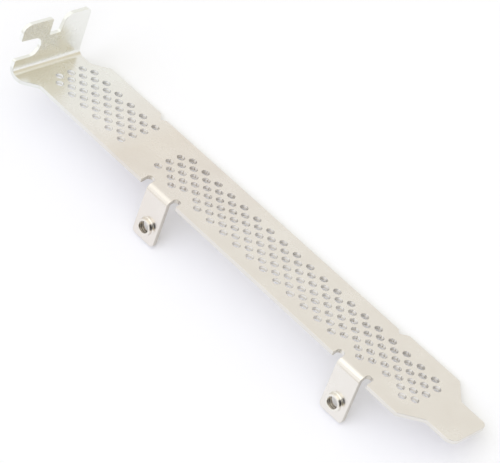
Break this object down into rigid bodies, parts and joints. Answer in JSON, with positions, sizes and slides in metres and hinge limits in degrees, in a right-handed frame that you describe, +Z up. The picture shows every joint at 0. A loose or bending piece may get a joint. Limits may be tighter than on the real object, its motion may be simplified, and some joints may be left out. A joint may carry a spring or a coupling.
{
  "type": "pci card bracket",
  "caption": "Vented steel face bracket for an expansion card, folded into a screw flange at the head, with a plug-in tongue at the foot and tapped side tabs that hold the card.",
  "frame": {"origin": "centre of the bounding box on the resting plane, where the bracket lies on its far long edge and its tab tips", "axes": "+X along the plate from the flange to the tongue, +Y across it away from the tabs, +Z up as it lies at rest"},
  "size_m": [0.12, 0.0248, 0.0209],
  "materials": {
    "nickel_plated_sheet": "satin nickel plate over punched and folded steel sheet"
  },
  "bodies": {
    "root": {"bracket": "nickel_plated_sheet"}
  },
  "joints": []
}
